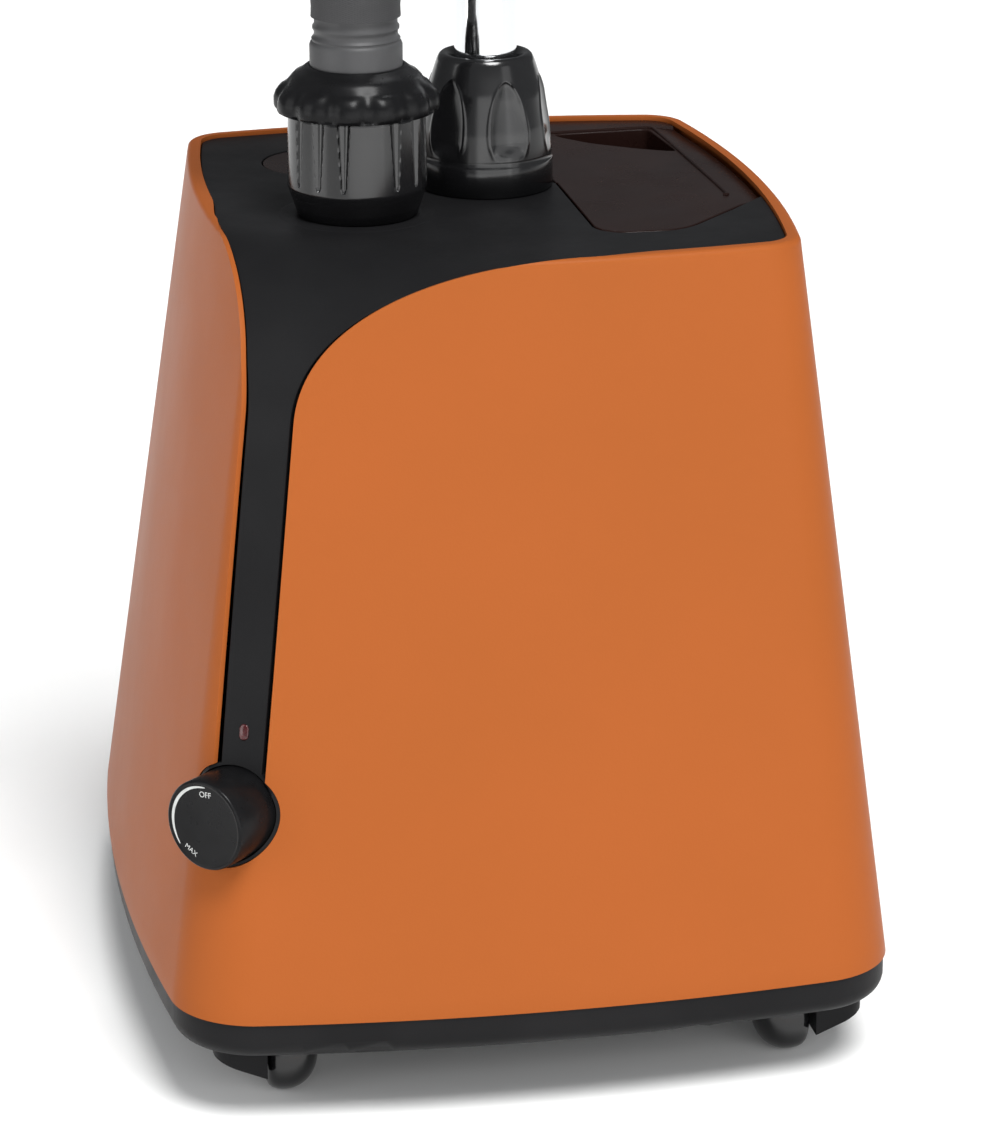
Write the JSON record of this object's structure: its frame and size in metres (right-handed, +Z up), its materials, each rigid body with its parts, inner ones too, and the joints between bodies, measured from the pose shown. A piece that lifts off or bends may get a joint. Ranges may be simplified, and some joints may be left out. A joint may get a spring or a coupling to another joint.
{
  "type": "garment steamer",
  "caption": "Upright garment steamer: tapered housing on rollers with lift-out water tank, dial, telescopic mast, hanger arms, steam hose and hung steam head.",
  "frame": {"origin": "on the floor, below the middle of the housing", "axes": "+X to the right, +Y to the back, +Z up; the dial is on the front left corner"},
  "size_m": [0.3811, 0.3234, 1.502],
  "materials": {
    "orange_shell": "satin moulded plastic",
    "black_satin": "satin moulded plastic",
    "black_gloss": "gloss moulded plastic",
    "smoked_tank": "smoked brown plastic",
    "chrome_tube": "polished",
    "steel": "zinc plated",
    "alloy": "cast",
    "hose_grey": "woven sleeve",
    "red_lens": "clear red",
    "white_nylon": "moulded",
    "silicone": "moulded"
  },
  "bodies": {
    "root": {"base_tray": "black_satin", "tray_screws": "steel", "mast_bolt": "steel", "outer_shell": "orange_shell", "top_cover": "black_satin", "dial_bezel": "black_satin", "steam_regulator": "black_satin", "indicator_lens": "red_lens", "mains_inlet": "black_satin", "boiler_base": "alloy", "boiler_lid": "alloy", "boiler_gasket": "silicone", "boiler_bolts": "steel", "heating_element": "steel", "thermostat": "white_nylon", "thermal_fuse": "steel", "steam_pipe": "silicone", "hose_socket": "black_satin", "tank_shelf": "black_satin", "tank_valve_seat": "black_satin", "water_pump": "black_satin", "feed_tube": "silicone", "boiler_tube": "silicone", "bell_collet": "white_nylon", "mast_lower": "chrome_tube", "mast_foot": "white_nylon", "lower_cuff": "black_satin", "steam_hose": "hose_grey", "roller_brackets": "black_satin", "roller_axles": "steel"},
    "dial": {"dial_knob": "black_gloss", "dial_shaft": "steel"},
    "filler_cap": {"filler_cap": "smoked_tank"},
    "tank": {"water_tank": "smoked_tank", "tank_lid": "smoked_tank"},
    "tank_cap": {"tank_cap": "black_gloss"},
    "tank_valve": {"tank_valve": "steel"},
    "bell_collar": {"bell_collar": "black_gloss"},
    "hose_collar": {"hose_collar": "black_gloss"},
    "hose_ring": {"hose_ring": "black_gloss"},
    "lower_lock": {"lower_lock": "black_satin"},
    "mast_middle": {"mast_middle": "chrome_tube", "middle_glide": "white_nylon"},
    "upper_lock": {"upper_lock": "black_satin"},
    "mast_upper": {"mast_upper": "chrome_tube", "upper_glide": "white_nylon", "hanger_hub": "black_satin", "arm_pins": "steel", "head_handle": "black_satin", "head_shell": "black_satin", "head_front": "black_gloss", "steam_plate": "steel", "upper_cuff": "black_satin"},
    "arm_left": {"hanger_arm_left": "black_satin"},
    "arm_right": {"hanger_arm_right": "black_satin"},
    "roller_front_left": {"roller_front_left": "black_gloss"},
    "roller_front_right": {"roller_front_right": "black_gloss"},
    "roller_rear_left": {"roller_rear_left": "black_gloss"},
    "roller_rear_right": {"roller_rear_right": "black_gloss"}
  },
  "joints": [
    {"name": "dial_turn", "type": "hinge", "parent": "root", "child": "dial", "pos_m": [-0.1308, -0.1425, 0.1245], "axis": [-0.7193, -0.6947, 0], "range_deg": [-250, 0]},
    {"name": "filler_cap_turn", "type": "hinge", "parent": "root", "child": "filler_cap", "pos_m": [-0.052, 0.066, 0.3295], "axis": [0, 0, 1], "range_deg": [0, 90]},
    {"name": "tank_lift", "type": "slide", "parent": "root", "child": "tank", "axis": [0, 0, 1], "range_m": [0, 0.2]},
    {"name": "tank_cap_turn", "type": "hinge", "parent": "tank", "child": "tank_cap", "pos_m": [0.072, 0.02, 0.14], "axis": [0, 0, 1], "range_deg": [0, 90]},
    {"name": "tank_valve_push", "type": "slide", "parent": "tank_cap", "child": "tank_valve", "axis": [0, 0, 1], "range_m": [0, 0.003], "stiffness_N_per_m": 150, "springref_m": -0.002},
    {"name": "bell_collar_turn", "type": "hinge", "parent": "root", "child": "bell_collar", "pos_m": [0.0068, 0.015, 0.3298], "axis": [0, 0, 1], "range_deg": [0, 60]},
    {"name": "hose_collar_turn", "type": "hinge", "parent": "root", "child": "hose_collar", "pos_m": [-0.051, -0.0225, 0.3298], "axis": [0, 0, 1], "range_deg": [0, 90]},
    {"name": "hose_ring_turn", "type": "hinge", "parent": "root", "child": "hose_ring", "pos_m": [-0.051, -0.0225, 0.3713], "axis": [0, 0, 1], "range_deg": [0, 45]},
    {"name": "lower_lock_turn", "type": "hinge", "parent": "root", "child": "lower_lock", "pos_m": [0.0068, 0.015, 0.79], "axis": [0, 0, 1], "range_deg": [0, 90]},
    {"name": "mast_middle_slide", "type": "slide", "parent": "root", "child": "mast_middle", "axis": [0, 0, 1], "range_m": [-0.24, 0]},
    {"name": "upper_lock_turn", "type": "hinge", "parent": "mast_middle", "child": "upper_lock", "pos_m": [0.0068, 0.015, 1.12], "axis": [0, 0, 1], "range_deg": [0, 90]},
    {"name": "mast_slide", "type": "slide", "parent": "root", "child": "mast_upper", "axis": [0, 0, 1], "range_m": [-0.48, 0], "deforming": ["steam_hose"]},
    {"name": "arm_left_fold", "type": "hinge", "parent": "mast_upper", "child": "arm_left", "pos_m": [-0.0202, 0.015, 1.492], "axis": [0, 1, 0], "range_deg": [-80, 0]},
    {"name": "arm_right_fold", "type": "hinge", "parent": "mast_upper", "child": "arm_right", "pos_m": [0.0338, 0.015, 1.492], "axis": [0, 1, 0], "range_deg": [0, 80]},
    {"name": "roller_front_left_spin", "type": "hinge", "parent": "root", "child": "roller_front_left", "pos_m": [-0.1055, -0.113, 0.016], "axis": [1, 0, 0], "continuous": true},
    {"name": "roller_front_right_spin", "type": "hinge", "parent": "root", "child": "roller_front_right", "pos_m": [0.1125, -0.113, 0.016], "axis": [1, 0, 0], "continuous": true},
    {"name": "roller_rear_left_spin", "type": "hinge", "parent": "root", "child": "roller_rear_left", "pos_m": [-0.1055, 0.118, 0.016], "axis": [1, 0, 0], "continuous": true},
    {"name": "roller_rear_right_spin", "type": "hinge", "parent": "root", "child": "roller_rear_right", "pos_m": [0.1125, 0.118, 0.016], "axis": [1, 0, 0], "continuous": true}
  ],
  "couplings": [
    {"joint": "mast_middle_slide", "follows": "mast_slide", "ratio": 0.5}
  ]
}
